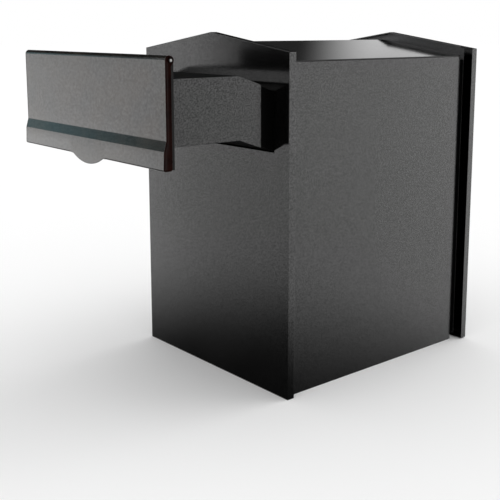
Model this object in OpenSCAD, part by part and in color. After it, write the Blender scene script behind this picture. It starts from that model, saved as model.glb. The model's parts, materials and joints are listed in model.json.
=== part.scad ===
// Through-wall parcel drop box: a gabled sheet-steel cabinet that stands behind a wall, a bent
// chute that passes through the wall, and a sprung flap on the outside of the wall.
// Millimetres. X runs across the front, +Y points to the rear door, +Z is up.
// The origin is the centre of the cabinet's footprint, on the floor.

/* [Cabinet] */
// Width of the front plate
plate_w = 425; // [410:1:450]
// Height of the front plate at its eave corners
eave_h = 600; // [600:5:660]
// Rise of the gable from eave to ridge
gable_rise = 31; // [20:1:45]
// Depth from the front plate's face to the rear door's face
box_depth = 496; // [440:4:560]
// Inset of the side panels from the front plate's edges
side_inset = 12; // [11:0.5:14]
// Height of the plates' edges above the roof
roof_step = 17; // [12:1:20]
// Sheet thickness of the cabinet and the chute
sheet = 2; // [1.5:0.25:2]
// Depth of the folded edge round the front plate
plate_return = 15; // [12:1:20]

/* [Rear door] */
// Overhang of the door past the front plate's edge
door_over = 4; // [2:0.5:6]
// Depth of the door's folded edge
door_return = 14; // [12:1:14]
// Length of the shadow gap between side panel and door edge
door_gap = 17; // [16:1:20]
// Number of hinge knuckles, an odd number
knuckles = 13; // [9:2:21]

/* [Chute] */
// Outside width of the chute
chute_w = 353; // [300:1:353]
// Outside height of the chute
chute_h = 105; // [90:1:110]
// Height of the level part's underside
chute_z = 457; // [450:1:462]
// Length of the sloping part in front of the plate
slope_run = 76; // [60:1:100]
// Fall of the chute over that length
slope_fall = 26; // [15:1:30]
// Length of the inner collar that shows in front of the plate
collar_show = 30; // [20:1:40]
// Length of the inner collar inside the cabinet
collar_inside = 80; // [60:1:100]

/* [Flap] */
// Width of the flap over its end caps
flap_w = 451; // [440:1:480]
// Distance from the front plate's face to the flap's face
flap_reach = 251; // [200:1:300]
// Depth of the flap's end caps
flap_depth = 15; // [15:1:20]
// Height of the flap from its top to the edge of its lip
flap_h = 169; // [160:1:175]
// Height of the flap's top edge
flap_top = 599; // [597:1:602]
// Distance that the lower lip stands proud of the main panel
lip_proud = 5.5; // [4:0.5:8]
// Width of the finger tab
tab_w = 97; // [70:1:120]
// Drop of the finger tab below the lip
tab_drop = 13; // [8:1:16]

/* [Hidden] */
$fn = 48;
slope = gable_rise / (plate_w / 2);
slope_len = sqrt(1 + slope * slope);
front_y = -box_depth / 2;
rear_y = box_depth / 2;
plate_x = plate_w / 2;
plate_ridge = eave_h + gable_rise;
roof_ridge = plate_ridge - roof_step;
roof_skin = sheet * slope_len;
side_x = plate_x - side_inset;
body_rear = rear_y - door_return - door_gap;
flange = 12;

frame_x = side_x - 10;
frame_low = 10;
frame_ridge = roof_ridge - 10;
frame_rear = rear_y - 8;
frame_lip = 18;
door_x = plate_x + door_over;
door_low = 2;
door_ridge = plate_ridge - 1.5;
door_inner = rear_y - sheet;
gasket_in = 2.5;
gasket_w = 11;
gasket_gap = 0.3;

hinge_r = 3;
hinge_pin_r = 1.5;
hinge_fit = 0.06;
hinge_leaf = 1.5;
hinge_x = -side_x - hinge_r;
hinge_y = body_rear + 7;
hinge_low = 40;
hinge_high = 560;
knuckle_gap = 0.4;
knuckle_len = (hinge_high - hinge_low) / knuckles;
leaf_w = 32;
leaf_turn = 13;
rivet_rows = 6;
rivet_r = 1.6;
rivet_head_r = 3.2;
rivet_head_t = 1;
side_rivet_y = hinge_y - 22;
door_rivet_x = hinge_x - hinge_r + 8.2;

lock_x = 150;
lock_z = 300;
lock_barrel_r = 9.5;
lock_plug_r = 6;
lock_fit = 0.06;
lock_flange_r = 12;
lock_flange_t = 2.5;
lock_inner = frame_rear - 4.8;
cam_reach = 27;
cam_r = 7;
cam_t = 2.4;
tail_r = 4;
screw_r = 1.5;
screw_len = 4;

chute_x = chute_w / 2;
chute_fall = slope_fall / slope_run;
bend_y = front_y - slope_run;
sleeve_end = front_y - collar_show;
collar_fit = 0.3;
collar_inset = sheet + collar_fit;
collar_x = chute_x - collar_inset;
collar_front = bend_y + 8;
collar_rear = front_y + collar_inside;
ring_w = 20;
ring_over = 14;
stud_r = 2;
stud_len = 10;
stud_out = 6;
nut_t = 3.2;
nut_flats = 7;

flap_x = flap_w / 2;
flap_front = front_y - flap_reach;
flap_back = flap_front + flap_depth;
flap_low = flap_top - flap_h;
flap_edge_r = 7;
cap_t = 2;
cap_gap = 0.6;
joggle_top = flap_top - 0.734 * flap_h;
joggle_low = flap_top - 0.827 * flap_h;
lip_lean = 1;
flap_pin_r = 2;
clip_r = 3.4;
flap_pin_y = flap_back - flap_edge_r;
flap_pin_z = flap_top - flap_edge_r;
frame_x_out = flap_x - cap_t - 0.5;
frame_return = 5;
ear_r = 4.6;
ear_drop = 17;
cap_back = flap_back - frame_return - cap_gap;
spring_x = 168;
spring_len = 18;
spring_r = 4.3;
wire_r = 0.7;

baffle_pin_r = 2;
baffle_y = collar_rear + 5;
baffle_z = chute_top(collar_rear) + 6.5;
baffle_barrel_r = 4;
baffle_x = collar_x - 2;

anchor_x = 150;
anchor_y = 170;
anchor_r = 5.5;

// Height of the chute's outer underside and top at a given depth
function chute_low(y) = chute_z - max(0, y - bend_y) * chute_fall;
function chute_top(y) = chute_low(y) + chute_h;
// Height of the roof's underside at a given distance from the middle
function roof_under(x) = roof_ridge - roof_skin - x * slope;
// House-shaped outline: half width, bottom and ridge height
function gable(half, low, ridge) = [
    [-half, low], [half, low], [half, ridge - half * slope], [0, ridge], [-half, ridge - half * slope]];
// Points of an arc, from angle a to angle b
function arc(c, r, a, b, steps = 8) = [for (i = [0:steps])
    c + r * [cos(a + (b - a) * i / steps), sin(a + (b - a) * i / steps)]];
function reverse(list) = [for (i = [len(list) - 1:-1:0]) list[i]];

// Extrudes an XZ outline from depth a to depth b
module along_y(a, b) {
    translate([0, b, 0]) rotate([90, 0, 0]) linear_extrude(b - a) children();
}

// Extrudes a YZ outline from x = a to x = b
module along_x(a, b) {
    translate([a, 0, 0]) rotate([90, 0, 90]) linear_extrude(b - a) children();
}

module rod_x(a, b, y, z, r) {
    translate([a, y, z]) rotate([0, 90, 0]) cylinder(h = b - a, r = r);
}

module rod_y(a, b, x, z, r) {
    translate([x, a, z]) rotate([-90, 0, 0]) cylinder(h = b - a, r = r);
}

module block(x, y, z) {
    translate([x[0], y[0], z[0]]) cube([x[1] - x[0], y[1] - y[0], z[1] - z[0]]);
}

// Children on the right side, and their mirror image on the left
module both_sides() {
    children();
    mirror([1, 0, 0]) children();
}

// ---- Cabinet ----

// Square-edged hole in the front plate and its ring, for the collar
module collar_hole(a, b) {
    inset = collar_inset - 1;
    block([inset - chute_x, chute_x - inset], [a, b],
        [chute_low(front_y + 2 * sheet) + inset, chute_top(front_y) - inset]);
}

module front_plate() {
    color([0.17, 0.17, 0.17]) difference() {
        along_y(front_y, front_y + plate_return) polygon(gable(plate_x, 0, plate_ridge));
        along_y(front_y + sheet, front_y + plate_return + 1)
            polygon(gable(plate_x - sheet, -1, plate_ridge - roof_skin));
        collar_hole(front_y - 1, front_y + sheet + 1);
    }
}

// Side panel with its top flange under the roof, a front flange behind the plate and a rear flange
module side_panel() {
    inner = side_x - flange - sheet;
    along_y(front_y + sheet, body_rear) polygon([
        [side_x, 0], [side_x, roof_under(side_x)],
        [inner, roof_under(inner)], [inner, roof_under(inner) - sheet],
        [side_x - sheet, roof_under(side_x - sheet) - sheet], [side_x - sheet, 0]]);
    block([side_x - 1, plate_x - sheet - 1], [front_y + sheet, front_y + 2 * sheet],
        [0, roof_under(side_x) - 1]);
    block([inner, side_x - 1], [body_rear - sheet, body_rear], [0, roof_under(side_x) - 1]);
}

module right_side_panel() {
    color([0.2, 0.2, 0.2]) side_panel();
}

module left_side_panel() {
    color([0.2, 0.2, 0.2]) mirror([1, 0, 0]) side_panel();
}

// One bent sheet, with a flange down its rear edge
module roof_panel() {
    flange_x = side_x - flange - 2 * sheet;
    color([0.12, 0.12, 0.12]) {
        along_y(front_y + sheet, body_rear) polygon([
            [-side_x, roof_ridge - side_x * slope], [-side_x, roof_under(side_x)],
            [0, roof_under(0)], [side_x, roof_under(side_x)],
            [side_x, roof_ridge - side_x * slope], [0, roof_ridge]]);
        along_y(body_rear - sheet, body_rear) polygon([
            [-flange_x, roof_under(flange_x) + 1], [-flange_x, roof_under(flange_x) - flange],
            [0, roof_under(0) - flange], [flange_x, roof_under(flange_x) - flange],
            [flange_x, roof_under(flange_x) + 1], [0, roof_under(0) + 1]]);
    }
}

// Floor with turned-up side and rear edges, and four holes for floor anchors
module floor_panel() {
    wide = side_x - sheet;
    rear_half = side_x - flange - 2 * sheet;
    color([0.12, 0.12, 0.12]) difference() {
        union() {
            block([-wide, wide], [front_y + sheet, body_rear - sheet], [0, sheet]);
            both_sides() block([wide - sheet, wide],
                [front_y + 2 * sheet, body_rear - sheet], [0, flange]);
            block([-rear_half, rear_half], [body_rear - sheet - 0.5, body_rear], [0, sheet]);
            block([-rear_half, rear_half], [body_rear - sheet, body_rear], [0, flange + sheet]);
        }
        for (sx = [-1, 1], sy = [-1, 1])
            translate([sx * anchor_x, sy * anchor_y, -1]) cylinder(h = sheet + 2, r = anchor_r);
    }
}

// Door frame: a set-back band behind the panels, with a lip turned in to carry the gasket
module rear_frame() {
    color([0.05, 0.05, 0.05]) difference() {
        along_y(body_rear, frame_rear) polygon(gable(frame_x, frame_low, frame_ridge));
        along_y(body_rear - 1, frame_rear - sheet)
            polygon(gable(frame_x - sheet, frame_low + sheet, frame_ridge - roof_skin));
        along_y(frame_rear - sheet - 1, frame_rear + 1)
            polygon(gable(frame_x - frame_lip, frame_low + frame_lip, frame_ridge - frame_lip));
    }
}

// ---- Rear door ----

module rear_door() {
    color([0.17, 0.17, 0.17]) difference() {
        along_y(rear_y - door_return, rear_y) polygon(gable(door_x, door_low, door_ridge));
        along_y(rear_y - door_return - 1, door_inner)
            polygon(gable(door_x - sheet, door_low + sheet, door_ridge - roof_skin));
        rod_y(door_inner - 1, rear_y + 1, lock_x, lock_z, lock_barrel_r + 0.1);
        for (i = [0:rivet_rows - 1])
            rod_y(door_inner - 1, rear_y + 1, door_rivet_x, rivet_z(i), rivet_r + 0.05);
    }
}

module door_gasket() {
    half = frame_x - gasket_in;
    ridge = frame_ridge - gasket_in;
    color([0.03, 0.03, 0.03]) along_y(frame_rear, door_inner - gasket_gap) difference() {
        polygon(gable(half, frame_low + gasket_in, ridge));
        polygon(gable(half - gasket_w, frame_low + gasket_in + gasket_w, ridge - gasket_w));
    }
}

function rivet_z(i) = hinge_low + (hinge_high - hinge_low) * (i + 0.5) / rivet_rows;

// Every second knuckle belongs to one leaf, starting at first
module knuckle_row(first) {
    for (i = [first:2:knuckles - 1])
        translate([hinge_x, hinge_y, hinge_low + i * knuckle_len + knuckle_gap / 2])
            cylinder(h = knuckle_len - knuckle_gap, r = hinge_r);
}

// Notches in a leaf beside the other leaf's knuckles
module knuckle_notches(first) {
    reach = hinge_r + 0.6;
    for (i = [first:2:knuckles - 1])
        translate([hinge_x - reach, hinge_y - reach, hinge_low + i * knuckle_len - knuckle_gap / 2])
            cube([2 * reach, 2 * reach, knuckle_len + knuckle_gap]);
}

module hinge_bore() {
    translate([hinge_x, hinge_y, hinge_low - 1])
        cylinder(h = hinge_high - hinge_low + 2, r = hinge_pin_r + hinge_fit);
}

module hinge_cabinet_leaf() {
    color([0.35, 0.35, 0.35]) difference() {
        union() {
            difference() {
                block([-side_x - hinge_leaf, -side_x], [hinge_y - leaf_w, hinge_y],
                    [hinge_low, hinge_high]);
                knuckle_notches(1);
            }
            knuckle_row(0);
        }
        hinge_bore();
        for (i = [0:rivet_rows - 1])
            rod_x(-side_x - 4, -side_x + 1, side_rivet_y, rivet_z(i), rivet_r + 0.05);
    }
}

// Leaf that runs back to the door and turns along its inner face
module hinge_door_leaf() {
    outer = hinge_x - hinge_r;
    color([0.35, 0.35, 0.35]) difference() {
        union() {
            difference() {
                union() {
                    block([outer, outer + hinge_leaf], [hinge_y, door_inner],
                        [hinge_low, hinge_high]);
                    block([outer, outer + leaf_turn], [door_inner - hinge_leaf, door_inner],
                        [hinge_low, hinge_high]);
                }
                knuckle_notches(0);
            }
            knuckle_row(1);
        }
        hinge_bore();
        for (i = [0:rivet_rows - 1])
            rod_y(door_inner - 4, rear_y, door_rivet_x, rivet_z(i), rivet_r + 0.05);
    }
}

module hinge_pin() {
    color([0.6, 0.6, 0.6]) translate([hinge_x, hinge_y, hinge_low - 2])
        cylinder(h = hinge_high - hinge_low + 4, r = hinge_pin_r);
}

// Blind rivets through the cabinet leaf, with a shallow head on the leaf
module hinge_cabinet_rivets() {
    color([0.6, 0.6, 0.6]) for (i = [0:rivet_rows - 1]) {
        rod_x(-side_x - hinge_leaf - rivet_head_t, -side_x - hinge_leaf, side_rivet_y, rivet_z(i),
            rivet_head_r);
        rod_x(-side_x - hinge_leaf - 0.5, -side_x, side_rivet_y, rivet_z(i), rivet_r);
    }
}

// Rivets through the door's face and the hinge leaf, with heads outside and upset ends inside
module hinge_door_rivets() {
    upset = door_inner - hinge_leaf - rivet_head_t;
    color([0.3, 0.3, 0.3]) for (i = [0:rivet_rows - 1]) {
        rod_y(rear_y, rear_y + rivet_head_t, door_rivet_x, rivet_z(i), rivet_head_r);
        rod_y(upset, rear_y + 0.5, door_rivet_x, rivet_z(i), rivet_r);
        rod_y(upset, door_inner - hinge_leaf, door_rivet_x, rivet_z(i), rivet_head_r - 0.7);
    }
}

// ---- Cam lock ----

module lock_barrel() {
    color([0.7, 0.7, 0.7]) difference() {
        union() {
            rod_y(lock_inner, rear_y + 1, lock_x, lock_z, lock_barrel_r);
            rod_y(rear_y, rear_y + lock_flange_t, lock_x, lock_z, lock_flange_r);
        }
        rod_y(lock_inner - 1, rear_y + 4, lock_x, lock_z, lock_plug_r + lock_fit);
    }
}

module lock_nut() {
    across_flats = 24;
    thick = 4;
    color([0.6, 0.6, 0.6]) difference() {
        translate([lock_x, door_inner - thick, lock_z]) rotate([-90, 0, 0])
            cylinder(h = thick, r = across_flats / sqrt(3), $fn = 6);
        rod_y(door_inner - thick - 1, door_inner + 1, lock_x, lock_z, lock_barrel_r + 0.05);
    }
}

// Plug with its keyway, and a smaller tail that carries the cam
module lock_plug() {
    key_h = 8;
    key_deep = 9;
    color([0.75, 0.75, 0.75]) difference() {
        union() {
            rod_y(lock_inner, rear_y + 3, lock_x, lock_z, lock_plug_r);
            rod_y(lock_inner - cam_t - 0.2, lock_inner + 1, lock_x, lock_z, tail_r);
        }
        block([lock_x - 1, lock_x + 1], [rear_y + 3 - key_deep, rear_y + 4],
            [lock_z - key_h / 2, lock_z + key_h / 2]);
        rod_y(lock_inner - cam_t - 1, lock_inner + screw_len + 2, lock_x, lock_z, screw_r + 0.05);
    }
}

// Flat cam, hanging straight down when the lock is open
module lock_cam() {
    back = lock_inner - 0.1;
    color([0.6, 0.6, 0.6]) difference() {
        union() {
            rod_y(back - cam_t, back, lock_x, lock_z, cam_r);
            rod_y(back - cam_t, back, lock_x, lock_z - cam_reach, cam_r);
            block([lock_x - cam_r, lock_x + cam_r], [back - cam_t, back],
                [lock_z - cam_reach, lock_z]);
        }
        rod_y(back - cam_t - 1, back + 1, lock_x, lock_z, tail_r + 0.05);
    }
}

module lock_cam_screw() {
    head = lock_inner - cam_t - 0.2;
    head_t = 3;
    across_flats = 10;
    color([0.6, 0.6, 0.6]) {
        translate([lock_x, head - head_t, lock_z]) rotate([-90, 0, 0])
            cylinder(h = head_t, r = across_flats / sqrt(3), $fn = 6);
        rod_y(head - 1, lock_inner + screw_len, lock_x, lock_z, screw_r);
    }
}

// Keeper plate on the front of the frame's lip, which the turned cam hooks behind
module lock_strike() {
    color([0.6, 0.6, 0.6]) block([frame_x - frame_lip + 1, frame_x - 3.5],
        [frame_rear - 2 * sheet, frame_rear - sheet], [lock_z - 16, lock_z + 16]);
}

// ---- Chute ----

// Side outline of the chute between two depths, drawn in by inset at top and bottom
module chute_side(a, b, inset) {
    bend = a < bend_y && bend_y < b ? [bend_y] : [];
    ys = concat([a], bend, [b]);
    polygon(concat([for (y = ys) [y, chute_low(y) + inset]],
        reverse([for (y = ys) [y, chute_top(y) - inset]])));
}

// Level sleeve that passes through the wall, bent down towards the cabinet
module chute_sleeve() {
    color([0.3, 0.3, 0.3]) difference() {
        along_x(-chute_x, chute_x) chute_side(flap_back - sheet, sleeve_end, 0);
        along_x(-chute_x + sheet, chute_x - sheet)
            chute_side(flap_back - sheet - 1, sleeve_end + 1, sheet);
    }
}

// Sloping collar that slides inside the sleeve and ends inside the cabinet
module chute_collar() {
    color([0.02, 0.02, 0.02]) difference() {
        along_x(-collar_x, collar_x) chute_side(collar_front, collar_rear, collar_inset);
        along_x(-collar_x + sheet, collar_x - sheet)
            chute_side(collar_front - 0.5, collar_rear + 1, collar_inset + sheet);
    }
}

// Places children at each stud round the collar
module at_studs() {
    low = chute_low(front_y) - stud_out;
    high = chute_top(front_y) + stud_out;
    side = collar_x + ring_w / 2 + 1;
    for (s = [-1, 1]) {
        for (z = [low + 2 * stud_out, (low + high) / 2, high - 2 * stud_out])
            translate([s * side, front_y + sheet, z]) children();
        for (z = [low, high])
            translate([s * side / 2.2, front_y + sheet, z]) children();
    }
}

// Ring that carries the collar on the back of the front plate
module chute_ring() {
    color([0.1, 0.1, 0.1]) difference() {
        block([-collar_x - ring_w, collar_x + ring_w], [front_y + sheet, front_y + 2 * sheet],
            [chute_low(front_y) - ring_over, chute_top(front_y) + ring_over]);
        collar_hole(front_y, front_y + 3 * sheet);
        at_studs() rod_y(-1, sheet + 1, 0, 0, stud_r + 0.2);
    }
}

module chute_studs() {
    color([0.6, 0.6, 0.6]) at_studs() rod_y(0, stud_len, 0, 0, stud_r);
}

module chute_nuts() {
    color([0.6, 0.6, 0.6]) at_studs() difference() {
        translate([0, sheet, 0]) rotate([-90, 0, 0]) cylinder(h = nut_t, r = nut_flats / sqrt(3), $fn = 6);
        rod_y(0, sheet + nut_t + 1, 0, 0, stud_r + 0.05);
    }
}

// ---- Flap ----

// Outline of the flap's skin seen from its end, inset from the outside by t
function skin_path(t) = concat(
    [[flap_pin_y, flap_top - t]],
    arc([flap_front + flap_edge_r, flap_pin_z], flap_edge_r - t, 90, 180),
    [[flap_front + t, joggle_top], [flap_front - lip_proud + lip_lean + t, joggle_low],
     [flap_front - lip_proud + t, flap_low + t], [cap_back, flap_low + t]]);

// Formed front skin: main panel, step, proud lip, bottom return and finger tab
module flap_panel() {
    tab_r = (tab_w * tab_w / 4 + tab_drop * tab_drop) / (2 * tab_drop);
    lip_y = flap_front - lip_proud;
    color([0.4, 0.38, 0.36]) {
        along_x(-flap_x + cap_t, flap_x - cap_t)
            polygon(concat(skin_path(0), reverse(skin_path(sheet))));
        intersection() {
            rod_y(lip_y, lip_y + sheet, 0, flap_low - tab_drop + tab_r, tab_r);
            block([-tab_w / 2, tab_w / 2], [lip_y - 1, lip_y + sheet + 1],
                [flap_low - tab_drop - 1, flap_low + 1]);
        }
    }
}

// End cap with an eye for the hinge pin, rounded so that it clears the wall as it turns.
// Below the eye its back edge is drawn in, in front of the frame's folded edge.
module flap_end_cap() {
    front_r = 3;
    rear_r = 4;
    difference() {
        along_x(flap_x - cap_t, flap_x) polygon(concat(
            arc([flap_pin_y, flap_pin_z], flap_edge_r - cap_gap, -50, 90),
            arc([flap_front + flap_edge_r, flap_pin_z], flap_edge_r, 90, 180),
            [[flap_front, joggle_top], [flap_front - lip_proud + lip_lean, joggle_low]],
            arc([flap_front - lip_proud + front_r, flap_low + front_r], front_r, 180, 270),
            arc([cap_back - rear_r, flap_low + rear_r], rear_r, 270, 360),
            [[cap_back, flap_pin_z - flap_edge_r - sheet]]));
        rod_x(flap_x - cap_t - 1, flap_x + 1, flap_pin_y, flap_pin_z, flap_pin_r + 0.06);
    }
}

module flap_end_cap_right() {
    color([0.12, 0.07, 0.06]) flap_end_cap();
}

module flap_end_cap_left() {
    color([0.12, 0.07, 0.06]) mirror([1, 0, 0]) flap_end_cap();
}

// Shallow pan that rests on the outside of the wall: a window for the sleeve, and folded sides
// that rise into ears for the pin
module flap_frame() {
    low = flap_low + 1;
    color([0.1, 0.1, 0.1]) difference() {
        union() {
            block([-frame_x_out, frame_x_out], [flap_back - sheet, flap_back], [low, flap_pin_z - 1]);
            both_sides() along_x(frame_x_out - sheet, frame_x_out) {
                translate([flap_pin_y, flap_pin_z]) circle(ear_r);
                translate([flap_pin_y - ear_r, flap_pin_z - ear_drop])
                    square([flap_back - 1 - flap_pin_y + ear_r, ear_drop]);
                translate([flap_back - frame_return, low])
                    square([frame_return, flap_pin_z - ear_drop + 1 - low]);
            }
        }
        along_x(-chute_x, chute_x) chute_side(flap_back - sheet - 1, flap_back + 1, 0);
        rod_x(-flap_x, flap_x, flap_pin_y, flap_pin_z, flap_pin_r + 0.05);
    }
}

module flap_hinge_pin() {
    color([0.7, 0.7, 0.7]) rod_x(-flap_x - 1.6, flap_x + 1.6, flap_pin_y, flap_pin_z, flap_pin_r);
}

// Push-on clips that keep the pin in place outside the end caps
module flap_pin_clips() {
    color([0.7, 0.7, 0.7]) both_sides() difference() {
        rod_x(flap_x + 0.3, flap_x + 1.3, flap_pin_y, flap_pin_z, clip_r);
        rod_x(flap_x, flap_x + 2, flap_pin_y, flap_pin_z, flap_pin_r + 0.02);
    }
}

// Torsion springs on the pin: the coil, a leg on the frame and a leg towards the flap
module flap_springs() {
    leg = 22;
    inner = spring_x - spring_len / 2;
    outer = spring_x + spring_len / 2;
    leg_r = spring_r - wire_r;
    color([0.75, 0.75, 0.75]) both_sides() {
        difference() {
            rod_x(inner, outer, flap_pin_y, flap_pin_z, spring_r);
            rod_x(inner - 1, outer + 1, flap_pin_y, flap_pin_z, spring_r - 2 * wire_r);
        }
        translate([outer - wire_r, flap_pin_y + leg_r, flap_pin_z - leg])
            cylinder(h = leg, r = wire_r);
        translate([inner + wire_r, flap_pin_y - leg_r, flap_pin_z - leg])
            cylinder(h = leg, r = wire_r);
    }
}

// Rubber stops that the closed flap rests on
module flap_bumpers() {
    color([0.03, 0.03, 0.03]) both_sides()
        rod_y(flap_front + sheet + 0.3, flap_back - sheet, chute_x + 24, joggle_top + 14, 5);
}

// ---- Inner baffle ----

module baffle_brackets() {
    reach = 42;
    drop = 45;
    eye_r = 6.5;
    color([0.3, 0.3, 0.3]) both_sides() difference() {
        along_x(collar_x, collar_x + sheet) {
            polygon([[baffle_y - reach, baffle_z - drop], [baffle_y - 9, baffle_z - drop],
                [baffle_y + eye_r - 0.1, baffle_z], [baffle_y - eye_r + 0.1, baffle_z],
                [baffle_y - reach, baffle_z - 15]]);
            translate([baffle_y, baffle_z]) circle(eye_r);
        }
        rod_x(collar_x - 1, collar_x + sheet + 1, baffle_y, baffle_z, baffle_pin_r + 0.05);
    }
}

module baffle_pin() {
    end = collar_x + sheet;
    color([0.7, 0.7, 0.7]) {
        rod_x(-end - 1, end + 1, baffle_y, baffle_z, baffle_pin_r);
        both_sides() rod_x(end + 0.2, end + 1.8, baffle_y, baffle_z, 3.5);
    }
}

// Hanging plate that covers the collar's mouth, with a rolled edge round the pin
module baffle_plate() {
    back = baffle_y - baffle_barrel_r;
    color([0.3, 0.3, 0.3]) difference() {
        union() {
            rod_x(-baffle_x, baffle_x, baffle_y, baffle_z, baffle_barrel_r);
            block([-baffle_x, baffle_x], [back, back + 1.5],
                [chute_low(collar_rear) - 4, baffle_z]);
            block([-baffle_x, baffle_x], [back, back + 10],
                [chute_low(collar_rear) - 5, chute_low(collar_rear) - 3.5]);
        }
        rod_x(-baffle_x - 1, baffle_x + 1, baffle_y, baffle_z, baffle_pin_r + 0.06);
    }
}

front_plate();
left_side_panel();
right_side_panel();
roof_panel();
floor_panel();
rear_frame();
lock_strike();
hinge_cabinet_leaf();
hinge_pin();
hinge_cabinet_rivets();
rear_door();
hinge_door_leaf();
hinge_door_rivets();
door_gasket();
lock_barrel();
lock_nut();
lock_plug();
lock_cam();
lock_cam_screw();
chute_sleeve();
chute_collar();
chute_ring();
chute_studs();
chute_nuts();
flap_frame();
flap_panel();
flap_end_cap_left();
flap_end_cap_right();
flap_hinge_pin();
flap_pin_clips();
flap_springs();
flap_bumpers();
baffle_brackets();
baffle_pin();
baffle_plate();
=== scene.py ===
"""Looks of a through-wall parcel drop box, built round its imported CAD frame. Metres, +Z up."""

import json
import math

import bmesh
import bpy
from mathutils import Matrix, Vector


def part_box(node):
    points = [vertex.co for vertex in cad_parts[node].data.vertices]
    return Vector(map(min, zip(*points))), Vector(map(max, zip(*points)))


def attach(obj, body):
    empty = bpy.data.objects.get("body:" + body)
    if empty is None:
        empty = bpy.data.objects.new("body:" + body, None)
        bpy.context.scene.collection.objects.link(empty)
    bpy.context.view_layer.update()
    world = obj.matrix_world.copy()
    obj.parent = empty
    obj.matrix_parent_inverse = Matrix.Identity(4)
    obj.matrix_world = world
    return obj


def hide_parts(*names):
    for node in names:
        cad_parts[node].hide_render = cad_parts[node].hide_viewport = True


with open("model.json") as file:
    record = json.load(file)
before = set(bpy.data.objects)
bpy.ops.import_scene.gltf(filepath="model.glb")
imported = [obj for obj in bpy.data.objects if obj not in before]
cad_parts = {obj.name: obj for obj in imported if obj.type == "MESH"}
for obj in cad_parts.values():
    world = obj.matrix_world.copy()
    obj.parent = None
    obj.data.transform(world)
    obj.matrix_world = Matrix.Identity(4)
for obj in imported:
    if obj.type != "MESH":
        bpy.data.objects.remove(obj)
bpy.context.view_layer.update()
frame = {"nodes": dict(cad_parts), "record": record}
NODES = frame["nodes"]
JOINT_AT = {j["name"]: Vector(j["pos_m"]) for j in frame["record"]["behaviour"]["joints"]}

MM = 0.001
SHEET = 2 * MM
PLATE_LOW, PLATE_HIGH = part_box("front_plate")
EAVE = 0.600
SLOPE = (PLATE_HIGH.z - EAVE) / PLATE_HIGH.x
SKIN_LOW, SKIN_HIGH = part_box("flap_panel")
CAP_LOW, CAP_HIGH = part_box("flap_end_cap_right")

# The flap's section in y and z: the pin, the faces from front to back, the heights from top down
FLAP_PIN = JOINT_AT["flap_hinge"]
FLAP_LIP = SKIN_LOW.y
LIP_PROUD = 5.5 * MM
LIP_LEAN = 1 * MM
FLAP_FACE = FLAP_LIP + LIP_PROUD
RETURN_END = SKIN_HIGH.y
FLAP_TOP = SKIN_HIGH.z
FLAP_LOW = CAP_LOW.z
FLAP_H = FLAP_TOP - FLAP_LOW
STEP_TOP = FLAP_TOP - 0.734 * FLAP_H
STEP_LOW = FLAP_TOP - 0.827 * FLAP_H
TOP_ROUND = FLAP_TOP - FLAP_PIN.z
BEND_R = 6 * MM
SKIN_SHEET = 0.9 * SHEET

# Noise scales per metre: a grain under a millimetre, the flecks in the paint, slow clouds
FINE = 900
FLECKS = 420
CLOUDS = 7


# ---- Node helpers ----

def link(tree, source, target):
    """Joins two sockets."""
    tree.links.new(source, target)


def add(tree, kind, **inputs):
    """Makes a shader node and sets its inputs by name."""
    node = tree.nodes.new(kind)
    for name, value in inputs.items():
        node.inputs[name.replace("_", " ")].default_value = value
    return node


def math_node(tree, operation, a, b=0.0, c=0.0):
    """Result of an operation on numbers or sockets."""
    node = tree.nodes.new("ShaderNodeMath")
    node.operation = operation
    for socket, value in zip(node.inputs, (a, b, c)):
        if isinstance(value, (int, float)):
            socket.default_value = value
        else:
            link(tree, value, socket)
    return node.outputs[0]


def smooth_range(tree, value, low, high, to_low=0.0, to_high=1.0):
    """Smoothstep of a value from low..high to to_low..to_high."""
    node = tree.nodes.new("ShaderNodeMapRange")
    node.interpolation_type = "SMOOTHSTEP"
    link(tree, value, node.inputs["Value"])
    node.inputs["From Min"].default_value = low
    node.inputs["From Max"].default_value = high
    node.inputs["To Min"].default_value = to_low
    node.inputs["To Max"].default_value = to_high
    return node.outputs["Result"]


def split_xyz(tree, vector):
    """The x, y and z of a vector."""
    node = tree.nodes.new("ShaderNodeSeparateXYZ")
    link(tree, vector, node.inputs[0])
    return node.outputs


def face_normal(tree):
    """The surface's own direction, in the object's axes."""
    return tree.nodes.new("ShaderNodeTexCoord").outputs["Normal"]


def noise(tree, vector, scale, detail=2.0, roughness=0.5):
    """Noise of a number of features per metre, from 0 to 1."""
    node = add(tree, "ShaderNodeTexNoise", Scale=scale, Detail=detail, Roughness=roughness)
    link(tree, vector, node.inputs["Vector"])
    return node.outputs["Fac"]


def blend_colours(tree, factor, first, second):
    """Blend of two fixed colours."""
    node = tree.nodes.new("ShaderNodeMix")
    node.data_type = "RGBA"
    node.inputs["A"].default_value = (*first, 1)
    node.inputs["B"].default_value = (*second, 1)
    link(tree, factor, node.inputs["Factor"])
    return node.outputs["Result"]


def mix_colours(tree, factor, first, second):
    """Blend of two colours that come from sockets."""
    node = tree.nodes.new("ShaderNodeMix")
    node.data_type = "RGBA"
    link(tree, factor, node.inputs["Factor"])
    link(tree, first, node.inputs["A"])
    link(tree, second, node.inputs["B"])
    return node.outputs["Result"]


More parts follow.
